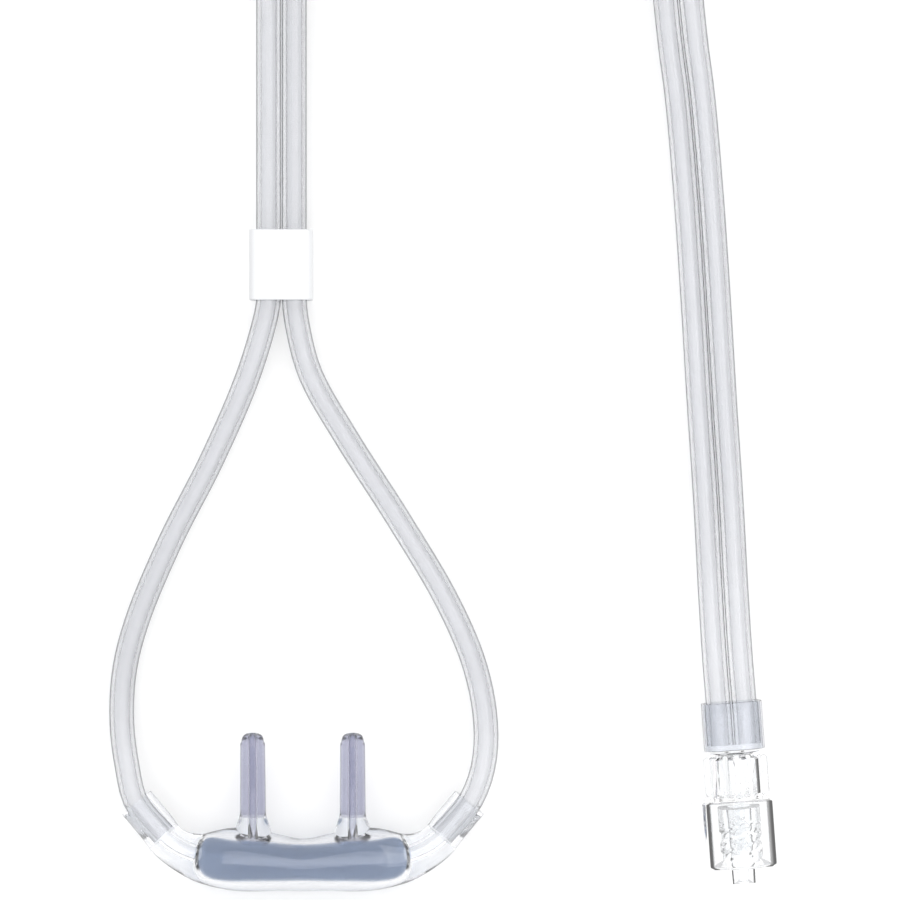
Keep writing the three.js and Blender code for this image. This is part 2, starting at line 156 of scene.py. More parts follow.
def smooth_line(points, per_span=24):
    """A cubic through the points whose slopes come from the root of the distances between them."""
    p = np.array(points, float)
    p = np.vstack([2 * p[0] - p[1], p, 2 * p[-1] - p[-2]])
    root = np.sqrt(np.linalg.norm(np.diff(p, axis=0), axis=1))[:, None]
    step = np.diff(p, axis=0)
    d0, d1, d2 = root[:-2], root[1:-1], root[2:]
    out_of = d1 * (step[:-2] / d0 - (p[2:-1] - p[:-3]) / (d0 + d1) + step[1:-1] / d1)
    into = d1 * (step[1:-1] / d1 - (p[3:] - p[1:-2]) / (d1 + d2) + step[2:] / d2)
    s = np.linspace(0, 1, per_span, endpoint=False)[None, :, None]
    a, b = p[1:-2, None], p[2:-1, None]
    line = (
        (2 * s**3 - 3 * s**2 + 1) * a
        + (s**3 - 2 * s**2 + s) * out_of[:, None]
        + (3 * s**2 - 2 * s**3) * b
        + (s**3 - s**2) * into[:, None]
    )
    return np.vstack([line.reshape(-1, 3), p[-2]])


def coil_line(side):
    """One tube's centreline through the coil: the angle runs clockwise from the left side, the
    radius and height step from turn to turn in the lower half, and the tube lies half a pitch
    to one side of the pair's middle, turning over once at the crossing."""
    whole = (len(TURNS) - 1) * 2 * np.pi + np.pi + LEAVE_ANGLE
    angle = np.arange(0, whole, TURN_STEP / COLUMN_RADII[1])
    turn = np.minimum((angle // (2 * np.pi)).astype(int), len(TURNS) - 1)
    after = np.minimum(turn + 1, len(TURNS) - 1)
    cells = np.array([(COLUMN_RADII[c], PAIR_Z + layer * PITCH) for c, layer in TURNS])
    late = np.pi + SHIFT_START + SHIFT_STAGGER * (len(TURNS) - 2 - turn)
    moved = eased((angle % (2 * np.pi) - late) / SHIFT_ARC)[:, None]
    radius, height = ((1 - moved) * cells[turn] + moved * cells[after]).T
    over = np.pi * eased((angle - CROSSING_TURN * 2 * np.pi - CROSSING_START) / CROSSING_ARC)
    radius = radius - side * PITCH / 2 * np.cos(over)
    height = height + PITCH / 2 * np.sin(over) * (1 - side)
    return np.stack(
        [
            COIL_CENTRE[0] - radius * np.cos(angle),
            COIL_CENTRE[1] + radius * np.sin(angle),
            height,
        ],
        axis=1,
    )


def beside(line, offset):
    """The line moved sideways, level with the table, by the offset."""
    run = np.gradient(line, axis=0)
    flat = np.linalg.norm(run[:, :2], axis=1)
    shift = np.stack([-run[:, 1] / flat, run[:, 0] / flat, 0 * flat], axis=1)
    return line + offset * shift


def tube_line(side, loop):
    """The whole centreline of the left (-1) or right (1) tube, in millimetres."""
    mouth = np.array(SOCKET_MOUTH) * (side, 1, 1)
    way = np.array([side * math.cos(SOCKET_ANGLE), math.sin(SOCKET_ANGLE), 0])
    x = PAIR_X + side * PITCH / 2
    first = smooth_line(
        [
            mouth - SOCKET_DEPTH * way,
            mouth,
            *loop,
            (x, SLIDER_Y - SLIDER_LENGTH / 2, PAIR_Z),
            (x, SLIDER_Y, PAIR_Z),
            (x, SLIDER_Y + STRAIGHT_PAST_SLIDER, PAIR_Z),
            (x, COIL_CENTRE[1] - STRAIGHT_SHORT_OF_COIL, PAIR_Z),
        ]
    )
    lean = np.array([math.sin(CONNECTOR_LEAN), -math.cos(CONNECTOR_LEAN), 0])
    end = np.array(CONNECTOR_MOUTH)
    leave = np.array(
        [
            COIL_CENTRE[0] + COLUMN_RADII[0] * math.cos(LEAVE_ANGLE),
            COIL_CENTRE[1] - COLUMN_RADII[0] * math.sin(LEAVE_ANGLE),
            PAIR_Z + PITCH,
        ]
    )
    last = beside(smooth_line([leave, *LINE, end, end + SLEEVE_DEPTH * lean]), side * PITCH / 2)
    line = np.vstack(
        [
            spaced(first, SEEN_STEP),
            spaced(coil_line(side), COIL_STEP),
            spaced(last[LINE_START:], SEEN_STEP),
        ]
    )
    return np.maximum(line, (-np.inf, -np.inf, TUBE_RADIUS))


def grid_faces(rows, columns):
    """Quads between each row of points and the next, closed round each row."""
    i, j = np.meshgrid(np.arange(rows - 1), np.arange(columns), indexing="ij")
    k = (j + 1) % columns
    quads = [i * columns + j, i * columns + k, (i + 1) * columns + k, (i + 1) * columns + j]
    return np.stack(quads, axis=-1).reshape(-1, 4)


def add_piece(name, points, faces):
    """A new object at the origin, with its points given in millimetres, smooth but for the edges
    where its faces turn by more than SHARP_TURN."""
    mesh = bpy.data.meshes.new(name)
    mesh.from_pydata((np.asarray(points) * MM).tolist(), [], [list(map(int, f)) for f in faces])
    mesh.polygons.foreach_set("use_smooth", np.ones(len(mesh.polygons), bool))
    mesh.set_sharp_from_angle(angle=SHARP_TURN)
    piece = bpy.data.objects.new(name, mesh)
    bpy.context.collection.objects.link(piece)
    return piece


def round_rings(line, radius, sides):
    """A circle of points square to the line at each of its points, first point on its left."""
    run = np.gradient(line, axis=0)
    run /= np.linalg.norm(run, axis=1)[:, None]
    left = np.stack([-run[:, 1], run[:, 0], 0 * run[:, 0]], axis=1)
    left /= np.linalg.norm(left, axis=1)[:, None]
    up = np.cross(left, run) * -1
    turn = np.linspace(0, 2 * np.pi, sides, endpoint=False)[None, :, None]
    return line[:, None] + radius * (np.cos(turn) * left[:, None] + np.sin(turn) * up[:, None])


def tube_piece(name, line, radius, bore, skin, lining, sides=44):
    """A pipe along a line: the outer rings forward and the bore's rings back, joined at both
    ends, so that it is one closed surface. The bore has a finish of its own."""
    outer = round_rings(line, radius, sides)
    inner = round_rings(line, bore, sides)[::-1]
    rings = np.concatenate([outer, inner, outer[:1]])
    faces = grid_faces(len(rings), sides)
    count = (len(rings) - 1) * sides
    piece = add_piece(name, rings.reshape(-1, 3)[:count], faces % count)
    piece.data.materials.append(skin)
    piece.data.materials.append(lining)
    row = np.arange(len(faces)) // sides
    in_bore = (row >= len(line)) & (row < 2 * len(line) - 1)
    piece.data.polygons.foreach_set("material_index", in_bore.astype(int))
    return piece


def linear(hex_colour):
    """An sRGB hex colour as linear red, green, blue and an alpha of 1."""
    c = np.array([int(hex_colour[i : i + 2], 16) for i in (1, 3, 5)]) / 255
    return (*np.where(c <= 0.04045, c / 12.92, ((c + 0.055) / 1.055) ** 2.4), 1.0)


def add_node(tree, kind, sockets=None, **settings):
    """A node with its settings, and each named socket set to a value or linked to an output."""
    node = tree.nodes.new(kind)
    for key, value in settings.items():
        setattr(node, key, value)
    for key, value in (sockets or {}).items():
        if isinstance(value, bpy.types.NodeSocket):
            tree.links.new(value, node.inputs[key])
        else:
            node.inputs[key].default_value = value
    return node


PAINTED_SHADING_WIDTH = 0.3  # how far past its start the painted edge shading is at its fullest
RIPPLE_DEPTH = 0.05


def clear_plastic(
    name, ior, roughness, face, painted_edge_shading, painted_shading_start, ripple_mm=3.0, ripple=0.0, haze=0.0
):
    """A clear plastic that tints light by its face colour where it is seen square on. Towards its
    outline, as the surface turns edgeways to the view, the tint gives way to a painted edge colour:
    painted shade where it is darker, painted light where it is lighter. The painted shading starts
    where the cosine to the surface is 1 minus its start value. A faint ripple is ripple_mm in size,
    and haze is the share of light that the plastic scatters."""
    made = bpy.data.materials.new(name)
    made.use_nodes = True
    tree = made.node_tree
    tree.nodes.clear()
    where = add_node(tree, "ShaderNodeTexCoord")
    noise = add_node(
        tree,
        "ShaderNodeTexNoise",
        {"Vector": where.outputs["Object"], "Scale": 1 / (ripple_mm * MM), "Detail": 2.0},
    )
    bump = add_node(
        tree,
        "ShaderNodeBump",
        {"Height": noise.outputs["Fac"], "Strength": ripple, "Distance": RIPPLE_DEPTH * MM},
    )
    slant = add_node(tree, "ShaderNodeLayerWeight", {"Blend": 0.5})
    share = add_node(
        tree,
        "ShaderNodeMapRange",
        {"Value": slant.outputs["Facing"], "From Min": painted_shading_start, "From Max": painted_shading_start + PAINTED_SHADING_WIDTH},
        interpolation_type="SMOOTHSTEP",
    )
    # Painted shading: towards the outline the face colour gives way to the painted edge colour.
    face_and_painted_shading = add_node(
        tree,
        "ShaderNodeMix",
        {"Factor": share.outputs["Result"], "A": linear(face), "B": linear(painted_edge_shading)},
        data_type="RGBA",
    )
    skin = add_node(
        tree,
        "ShaderNodeBsdfPrincipled",
        {
            "Base Color": face_and_painted_shading.outputs["Result"],
            "Roughness": roughness,
            "IOR": ior,
            "Transmission Weight": 1 - haze,
            "Normal": bump.outputs["Normal"],
        },
    )
    add_node(tree, "ShaderNodeOutputMaterial", {"Surface": skin.outputs["BSDF"]})
    return made


# Clear soft PVC, extruded: glossy and a little hazy. Its grey face tint is partly its own and partly
# painted shade that darkens what is seen through it, and the dark fine line along each edge is
# painted shade.
tube_pvc = clear_plastic("clear_pvc_tubing", 1.53, 0.04, "#E6E7E9", "#2A2B31", 0.4, haze=0.1)
# Its bore, extruded on a pin, is a little dull, and shows as two faint lines, painted shade from the
# darker colour mixed in where it is seen edgeways.
bore_pvc = clear_plastic("dull_pvc_bore", 1.12, 0.1, "#F8F8FA", "#7C7E88", 0.5)

tube_lines = {"left": tube_line(-1, LEFT_LOOP), "right": tube_line(1, RIGHT_LOOP)}
for name, line in tube_lines.items():
    tube = tube_piece(f"{name}_tube", line, TUBE_RADIUS, TUBE_BORE_RADIUS, tube_pvc, bore_pvc)
    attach(tube, "cannula")
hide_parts("left_loop_tube", "left_line_tube", "tube_coil")
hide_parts("right_loop_tube", "right_line_tube", "tube_coil")

# Nasal piece
# One soft clear PVC moulding: a hollow body that lies on the lip, two prongs that curl up a
# little, and a socket at each end with a tube pushed and bonded into it.
PRONG_X = 6.2
PRONG_TIP_Y = 9.8
PRONG_TIP_RADIUS = 1.53
PRONG_ROOT_RADIUS = 1.65
PRONG_FLARE_RADIUS = 2.35
PRONG_TIP_RISE = 1.3
PRONG_TIP_ROUNDING = 1.15  # length of the domed tip
PRONG_TIP_SHOULDER = 0.12  # step where the dome starts
PRONG_TIP_NARROWING = 0.6
PRONG_PAINTED_SHADE_START = -0.6  # the height, in Y, from which a prong's skin takes the painted shade tint; the flared root below stays clear
PRONG_SHOULDER_SHARE = 0.1  # of the dome, over which the shoulder steps in
PRONG_CURL_START = 1  # the height, in Y, from which a prong rises
PRONG_CURL_REACH = 1.35  # the curl's full length, as a share of the length past its start
PRONG_FLARE_HEIGHT = 3
PRONG_FLARE_SINK = 1
PRONG_BORE_RADIUS = 0.4
PRONG_RINGS = 90
BODY_BOTTOM_Y = -9.8
BODY_HUMP_RADIUS = 3.95
BODY_WAIST_RADIUS = 3.25
BODY_HALF_THICKNESS = 3.4
BODY_WAIST_THINNING = 0.15
BODY_STEP = 0.5
HUMP_OUTSIDE = 1.6  # of a prong's middle
BEND_OUTSIDE = 0.9  # of the middle between a hump and a socket's root
BEND_DROP = 0.85  # the share of its way down to the hump's height
TAPER_PAST_ROOT = 0.8
HOLLOW_HALF_LENGTH = 13.4
HOLLOW_TOP_WALL = 1.35  # above the hollow, under a prong
HOLLOW_WAIST_WALL = 0.65  # above the hollow, between the prongs
HOLLOW_BOTTOM_WALL = 1.05
HOLLOW_FACE_WALL = 0.85
HOLLOW_END_POWER = 10  # how square its ends are
HOLLOW_END_LEAST = 0.02  # keeps its end rings open
HOLLOW_RINGS = 90
SOCKET_LENGTH = 6.8
SOCKET_RADIUS = 2.3
SOCKET_BORE_RADIUS = 1.6
SOCKET_SEAT_GAP = 0.3
LINK_RADIUS = 0.75
LINK_BEND = 1.5
LINK_INSET = 3
SOCKET_RINGS = 12
CUT_OVERRUN = 1

HUMP_X = PRONG_X + HUMP_OUTSIDE
HUMP_Y = BODY_BOTTOM_Y + BODY_HUMP_RADIUS
WAIST_Y = BODY_BOTTOM_Y + BODY_WAIST_RADIUS
UP = np.array([0.0, 0.0, 1.0])
SIDEWAYS = np.array([1.0, 0.0, 0.0])


def mixed(a, b, share):
    """From a at a share of 0 to b at a share of 1."""
    return a + (b - a) * share


def swept_rings(line, normal, half_width, half_depth, sides=40):
    """Ellipses square to a plane line: half_width in its plane, half_depth along its normal."""
    run = np.gradient(line, axis=0)
    run /= np.linalg.norm(run, axis=1)[:, None]
    across = np.cross(normal, run)
    turn = np.linspace(0, 2 * np.pi, sides, endpoint=False)[None, :, None]
    wide = np.asarray(half_width)[:, None, None] * across[:, None]
    deep = np.asarray(half_depth)[:, None, None] * normal
    return line[:, None] + np.cos(turn) * wide - np.sin(turn) * deep


def closed_piece(name, rings, finish):
    """A surface over rings of points, with a fan of triangles over each end."""
    rows, sides = rings.shape[:2]
    points = np.vstack([rings.reshape(-1, 3), rings[0].mean(axis=0), rings[-1].mean(axis=0)])
    around = np.arange(sides)
    after = (around + 1) % sides
    last = (rows - 1) * sides
    start = np.stack([after, around, np.full(sides, rows * sides)], axis=1)
    end = np.stack([last + around, last + after, np.full(sides, rows * sides + 1)], axis=1)
    faces = [*grid_faces(rows, sides), *start, *end]
    piece = add_piece(name, points, faces)
    for made in nasal_finishes:
        piece.data.materials.append(made)
    piece.data.polygons.foreach_set(
        "material_index", np.full(len(faces), nasal_finishes.index(finish))
    )
    return piece


def combined(name, base, others, operation):
    """One closed solid: the others joined to the base, or taken out of it."""
    group = bpy.data.collections.new(name)
    for piece in others:
        group.objects.link(piece)
    step = base.modifiers.new(operation, "BOOLEAN")
    step.operation = operation
    step.solver = "EXACT"
    step.operand_type = "COLLECTION"
    step.collection = group
    seen = base.evaluated_get(bpy.context.evaluated_depsgraph_get())
    mesh = bpy.data.meshes.new_from_object(seen)
    for piece in (base, *others):
        bpy.data.objects.remove(piece)
    bpy.data.collections.remove(group)
    mesh.name = name
    mesh.polygons.foreach_set("use_smooth", np.ones(len(mesh.polygons), bool))
    mesh.set_sharp_from_angle(angle=SHARP_TURN)
    solid = bpy.data.objects.new(name, mesh)
    bpy.context.collection.objects.link(solid)
    return solid


def body_radius(x, hump, waist, end):
    """Half a height of the body: the waist in the middle, the hump by each prong, then down to the
    sockets, each stretch on an easing curve."""
    d = np.abs(x)
    inner = mixed(waist, hump, eased(d / HUMP_X))
    outer = mixed(hump, end, eased((d - HUMP_X) / (SOCKET_ROOT[0] - HUMP_X + TAPER_PAST_ROOT)))
    return np.where(d < HUMP_X, inner, outer)


# Glossy clear PVC outside, where the mould was polished. Its thin dark outline is painted shade, from
# the darker colour mixed in towards the outline.
moulded_pvc = clear_plastic("clear_pvc_moulding", 1.53, 0.05, "#FAFBFD", "#5C5F6A", 0.65, 2.5, 0.06)
# The same PVC, left satin by the mould's core. The hollow's blue-grey is painted shade that darkens
# what is seen through it, turning lighter towards the hollow's outline as painted light.
hollow_pvc_painted_shade = clear_plastic("satin_pvc_hollow_painted_shade", 1.53, 0.2, "#8C9BB4", "#B4BDCF", 0.5, 2.5, 0.06)
# The prongs' skin has a lavender-grey tint, painted shade that darkens what is seen through it, and a
# painted darker line towards its outline.
prong_pvc_painted_shade = clear_plastic("lavender_grey_prong_painted_shade", 1.53, 0.15, "#B6B7C9", "#6A6B78", 0.5, 2.5, 0.06)
# Inside each prong a long pin left the bore satin and nearly clear. Its blue-grey tint is painted
# shade, so that the prong's middle line shows a shade darker than the skin round it, with a painted
# darker line where the bore is seen edgeways.
pin_bore_pvc_painted_shade = clear_plastic("satin_pvc_prong_bore_painted_shade", 1.53, 0.2, "#D4D5E1", "#A0A2B0", 0.5, 2.5, 0.06)
nasal_finishes = [moulded_pvc, hollow_pvc_painted_shade, prong_pvc_painted_shade, pin_bore_pvc_painted_shade]

SOCKET_WAY = np.array([math.cos(SOCKET_ANGLE), math.sin(SOCKET_ANGLE), 0])
SOCKET_ROOT = np.array(SOCKET_MOUTH) - SOCKET_LENGTH * SOCKET_WAY
body_half = np.array(
    [
        SOCKET_MOUTH,
        np.array(SOCKET_MOUTH) - SOCKET_LENGTH / 2 * SOCKET_WAY,
        SOCKET_ROOT,
        (
            (SOCKET_ROOT[0] + HUMP_X) / 2 + BEND_OUTSIDE,
            mixed(SOCKET_ROOT[1], HUMP_Y, BEND_DROP),
            BODY_HALF_THICKNESS,
        ),
        (HUMP_X, HUMP_Y, BODY_HALF_THICKNESS),
        (HUMP_X / 2, (HUMP_Y + WAIST_Y) / 2, BODY_HALF_THICKNESS),
    ]
)
body_line = spaced(
    smooth_line(
        [*(body_half * (-1, 1, 1)), (0, WAIST_Y, BODY_HALF_THICKNESS), *body_half[::-1]]
    ),
    BODY_STEP,
)
body_skin = closed_piece(
    "body_skin",
    swept_rings(
        body_line,
        UP,
        body_radius(body_line[:, 0], BODY_HUMP_RADIUS, BODY_WAIST_RADIUS, SOCKET_RADIUS),
        body_radius(
            body_line[:, 0],
            BODY_HALF_THICKNESS,
            BODY_HALF_THICKNESS - BODY_WAIST_THINNING,
            SOCKET_RADIUS,
        ),
        sides=56,
    ),
    moulded_pvc,
)


def prong_line(side, tip_y):
    """From the body's middle out to the tip, rising on an easing curve."""
    y = np.linspace(HUMP_Y, tip_y, PRONG_RINGS)
    curl_length = PRONG_CURL_REACH * (PRONG_TIP_Y - PRONG_CURL_START)
    rise = PRONG_TIP_RISE * eased((y - PRONG_CURL_START) / curl_length)
    return np.stack([0 * y + side * PRONG_X, y, BODY_HALF_THICKNESS + rise], axis=1)


def prong_piece(side):
    """A tapered round prong with a flared root and a domed tip: past a small shoulder, the radius
    falls as a quarter of an ellipse over the last of its length."""
    line = prong_line(side, PRONG_TIP_Y)
    share = np.linspace(0, 1, len(line))
    left = (1 - share) * (PRONG_TIP_Y - HUMP_Y)
    dome = np.clip(1 - left / PRONG_TIP_ROUNDING, 0, 1)
    body_top = HUMP_Y + BODY_HUMP_RADIUS
    up_flare = (line[:, 1] - body_top + PRONG_FLARE_SINK) / PRONG_FLARE_HEIGHT
    flare = (PRONG_FLARE_RADIUS - PRONG_ROOT_RADIUS) * (1 - eased(up_flare))
    radius = mixed(PRONG_ROOT_RADIUS, PRONG_TIP_RADIUS, share) + flare
    narrowing = PRONG_TIP_NARROWING * (1 - np.sqrt(1 - dome**2))
    radius -= PRONG_TIP_SHOULDER * eased(dome / PRONG_SHOULDER_SHARE) + narrowing
    piece = closed_piece("prong", swept_rings(line, SIDEWAYS, radius, radius), prong_pvc_painted_shade)
    middles = np.empty(3 * len(piece.data.polygons))
    piece.data.polygons.foreach_get("center", middles)
    # Painted shade: the skin above the given height takes the tinted prong finish, and the flared
    # root keeps the clear one.
    painted_shade_index = np.where(middles[1::3] > PRONG_PAINTED_SHADE_START * MM, nasal_finishes.index(prong_pvc_painted_shade), 0)
    piece.data.polygons.foreach_set("material_index", painted_shade_index)
    return piece


def bore_piece(line, normal, radius, finish, sides=24):
    """A straight or bent round hole's own volume, to cut away."""
    size = np.full(len(line), radius)
    return closed_piece("bore", swept_rings(line, normal, size, size, sides), finish)


def socket_cuts(side):
    """The socket's straight bore for the tube, and the small bore that bends from it into the body
    on a quadratic curve."""
    flip = (side, 1, 1)
    mouth = np.array(SOCKET_MOUTH)
    seat = mouth - (SOCKET_DEPTH + SOCKET_SEAT_GAP) * SOCKET_WAY
    s = np.linspace(0, 1, SOCKET_RINGS)[:, None]
    bore = mixed(seat, mouth + CUT_OVERRUN * SOCKET_WAY, s)
    middle = mouth - (SOCKET_LENGTH + LINK_BEND) * SOCKET_WAY
    inner = np.array([HOLLOW_HALF_LENGTH - LINK_INSET, HUMP_Y, BODY_HALF_THICKNESS])
    outer = mouth - SOCKET_DEPTH * SOCKET_WAY
    link = (1 - s) ** 2 * outer + 2 * s * (1 - s) * middle + s**2 * inner
    return [
        bore_piece(bore * flip, UP, SOCKET_BORE_RADIUS, moulded_pvc),
        bore_piece(link * flip, UP, LINK_RADIUS, moulded_pvc),
    ]


# The hollow's upper edge follows the body's, and its lower edge is level. Past the humps it rises
# with the body, and its ends are square with round corners.
hollow_x = HOLLOW_HALF_LENGTH * np.sin(np.linspace(-np.pi / 2, np.pi / 2, HOLLOW_RINGS))
bottom = BODY_BOTTOM_Y + HOLLOW_BOTTOM_WALL
top = mixed(
    WAIST_Y + BODY_WAIST_RADIUS - HOLLOW_WAIST_WALL,
    HUMP_Y + BODY_HUMP_RADIUS - HOLLOW_TOP_WALL,
    eased(np.abs(hollow_x) / HUMP_X),
)
past_hump = eased((np.abs(hollow_x) - HUMP_X) / (SOCKET_ROOT[0] - HUMP_X))
rise = (SOCKET_ROOT[1] - HUMP_Y) * past_hump / 2
end = np.sqrt(
    np.maximum(HOLLOW_END_LEAST, 1 - (hollow_x / HOLLOW_HALF_LENGTH) ** HOLLOW_END_POWER)
)
half_body = body_radius(hollow_x, BODY_HALF_THICKNESS, BODY_HALF_THICKNESS, SOCKET_RADIUS)
depth = half_body - HOLLOW_FACE_WALL
chamber = closed_piece(
    "chamber",
    swept_rings(
        np.stack([hollow_x, (top + bottom) / 2 + rise, 0 * hollow_x + BODY_HALF_THICKNESS], axis=1),
        UP,
        (top - bottom) / 2 * end,
        depth * end,
    ),
    hollow_pvc_painted_shade,
)
hollow = combined(
    "hollow",
    chamber,
    [
        *[
            bore_piece(
                prong_line(side, PRONG_TIP_Y + CUT_OVERRUN), SIDEWAYS, PRONG_BORE_RADIUS, pin_bore_pvc_painted_shade
            )
            for side in (-1, 1)
        ],
        *socket_cuts(-1),
        *socket_cuts(1),
    ],
    "UNION",
)
skin = combined("skin", body_skin, [prong_piece(-1), prong_piece(1)], "UNION")
nasal_piece = combined("soft_nasal_piece", skin, [hollow], "DIFFERENCE")
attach(nasal_piece, "cannula")
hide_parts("nasal_piece")

# Slider
# A rectangular sleeve moulded in opaque white plastic. Both tubes run through it side by
# side, and it slides along them to draw the loop closer under the chin.
SLIDER_WALL = 0.6
SLIDER_SIDE_WALL = 0.5
SLIDER_CORNER = 0.9
SLIDER_EDGE = 0.22
TUBE_GAP = 0.3


def rounded_outline(half_width, half_height, corner, points=16):
    """A rectangle with round corners, as one closed row of points, anticlockwise from the right."""
    turn = np.linspace(0, np.pi / 2, points)
    quarter = corner * np.stack([np.cos(turn), np.sin(turn)], axis=1)
    inset = np.array([half_width - corner, half_height - corner])
    corners = []
    for k, sign in enumerate([(1, 1), (-1, 1), (-1, -1), (1, -1)]):
        c, s = math.cos(k * math.pi / 2), math.sin(k * math.pi / 2)
        arc = quarter @ np.array([[c, s], [-s, c]])
        corners.append(arc + inset * sign)
    return np.vstack(corners)


def sleeve_rings(outer, inner, length, edge, edge_rings=7):
    """A sleeve's surface: rings that blend from the outer outline to the inner one and back, with a
    quarter-round edge of the given size at each turn of the wall's section."""
    wall = np.linalg.norm(outer - inner, axis=1).mean()
    turn = np.linspace(0, np.pi / 2, edge_rings)
    round_in = np.stack([(1 - np.cos(turn)) * edge / wall, np.sin(turn) * edge - edge], axis=1)
    half = round_in + (0, length / 2)
    end = np.vstack([half, (half * (-1, 1) + (1, 0))[::-1]])
    section = np.vstack([end, end[::-1] * (1, -1)])
    blend, along = section[:, 0, None, None], section[:, 1]
    rings = mixed(outer[None], inner[None], blend)
    along = np.broadcast_to(along[:, None, None], (*rings.shape[:2], 1))
    return np.concatenate([rings, along], axis=2)


def sleeve_piece(name, rings, place):
    """A closed sleeve from its rings of (across, up, along), each put where place() says."""
    count, sides = rings.shape[:2]
    faces = grid_faces(count + 1, sides) % (count * sides)
    return add_piece(name, place(rings.reshape(-1, 3)), faces)


slider = sleeve_piece(
    "white_slider",
    sleeve_rings(
        rounded_outline(
            PITCH / 2 + TUBE_RADIUS + TUBE_GAP + SLIDER_SIDE_WALL,
            TUBE_RADIUS + TUBE_GAP + SLIDER_WALL,
            SLIDER_CORNER,
        ),
        rounded_outline(
            PITCH / 2 + TUBE_RADIUS + TUBE_GAP, TUBE_RADIUS + TUBE_GAP, TUBE_RADIUS
        ),
        SLIDER_LENGTH,
        SLIDER_EDGE,
    ),
    lambda p: np.stack([PAIR_X - p[:, 0], SLIDER_Y + p[:, 2], PAIR_Z + p[:, 1]], axis=1),
)
# Opaque polyethylene from a smooth mould: pure white in full light, with a soft satin shine.
white = bpy.data.materials.new("white_moulded_polyethylene")
white.use_nodes = True
white.node_tree.nodes["Principled BSDF"].inputs["Base Color"].default_value = linear("#E1E2E4")
white.node_tree.nodes["Principled BSDF"].inputs["Roughness"].default_value = 0.35
slider.data.materials.append(white)
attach(slider, "slider")
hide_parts("slider")

# Connector sleeve
# A short sleeve of soft clear PVC with an oval bore. It is bonded round the ends of both tubes
# and holds them side by side at the connector.
SLEEVE_LENGTH = 5.9
SLEEVE_HALF_WIDTH = 3.75
SLEEVE_HALF_THICKNESS = 2.6
SLEEVE_CLEARANCE = 0.2
SLEEVE_CORNER = 2.2
SLEEVE_EDGE = 0.12


def on_connector(p):
    """Points of (across, up, along) turned and moved on to the connector's axis."""
    c, s = math.cos(CONNECTOR_LEAN), math.sin(CONNECTOR_LEAN)
    x = CONNECTOR_MOUTH[0] - c * p[:, 0] + s * p[:, 2]
    y = CONNECTOR_MOUTH[1] - s * p[:, 0] - c * p[:, 2]
    return np.stack([x, y, CONNECTOR_MOUTH[2] + p[:, 1]], axis=1)


sleeve_bore = TUBE_RADIUS + SLEEVE_CLEARANCE
sleeve = sleeve_piece(
    "soft_sleeve",
    sleeve_rings(
        rounded_outline(SLEEVE_HALF_WIDTH, SLEEVE_HALF_THICKNESS, SLEEVE_CORNER),
        rounded_outline(PITCH / 2 + sleeve_bore, sleeve_bore, TUBE_RADIUS),
        SLEEVE_LENGTH,
        SLEEVE_EDGE,
    ),
    lambda p: on_connector(p * (-1, 1, 1) + (0, 0, SLEEVE_LENGTH / 2)),
)
# Clear soft PVC, a little bluer than the tubes where both walls are looked through. The face tint is
# partly painted shade, and the dark line along its edges is painted shade.
sleeve.data.materials.append(
    clear_plastic("clear_pvc_sleeve", 1.53, 0.05, "#EEF0F4", "#4A4D58", 0.55, 2.5, 0.03)
)
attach(sleeve, "cannula")
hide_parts("connector_sleeve")

# Luer lock connector
# One injection moulding of clear hard polycarbonate, bonded to the tubes: a ribbed neck, a
# collar with a two-start lock thread inside, and the tapered nozzle that seals in the inlet.
NECK_LENGTH = 5.6
NECK_TOP_RADIUS = 3.2
NECK_BOTTOM_RADIUS = 3.55
NECK_BORE_RADIUS = 1.2
RIB_COUNT = 14
RIB_HEIGHT = 0.4
RIB_TOP_FADE = 0.5  # over which a rib rises from the neck's top
RIB_FOOT_FADE = 0.4
RIB_FOOT_GAP = 0.1
RIB_SHARE = 0.15
RIB_SOFTNESS = 0.5
RIB_REACH = 1.2  # how far under the neck's top radius a rib still starts
COLLAR_RADIUS = 5.75
COLLAR_LENGTH = 8.5
COLLAR_BORE_RADIUS = 4.15
COLLAR_FLOOR = 1.3
COLLAR_EDGE = 0.4
COLLAR_ROUND = 0.12
MOULD_EDGE = 0.3
MOULD_ROUND = 0.08
NECK_FOOT = 0.25
BORE_EDGE = 0.2
TIP_EDGE = 0.15
PROFILE_STEP = 0.16
NOZZLE_TIP_RADIUS = 1.97
NOZZLE_ROOT_RADIUS = 2.27
NOZZLE_REACH = 2.25
NOZZLE_BORE_RADIUS = 1.1
THREAD_HEIGHT = 0.4
THREAD_LEAD = 5
THREAD_STARTS = 2
THREAD_REACH = 4.5
THREAD_INSET = 0.8  # from the rim to where its turns are counted
THREAD_HALF_WIDTH = 0.75
THREAD_FLANK = 0.35
THREAD_FADE = 0.4
THREAD_RIM_GAP = 0.25

NECK_Y = SLEEVE_LENGTH + TUBE_GAP
COLLAR_Y = NECK_Y + NECK_LENGTH
RIM_Y = COLLAR_Y + COLLAR_LENGTH
TIP_Y = RIM_Y + NOZZLE_REACH


def turned_profile(corners, step):
    """Points every step along the straight lines between the corners, which stay in."""
    pieces = []
    for (r0, y0), (r1, y1) in zip(corners, corners[1:] + corners[:1]):
        n = max(2, int(math.hypot(r1 - r0, y1 - y0) / step) + 1)
        s = np.linspace(0, 1, n, endpoint=False)
        pieces.append(np.stack([mixed(r0, r1, s), mixed(y0, y1, s)], axis=1))
    return np.vstack(pieces)


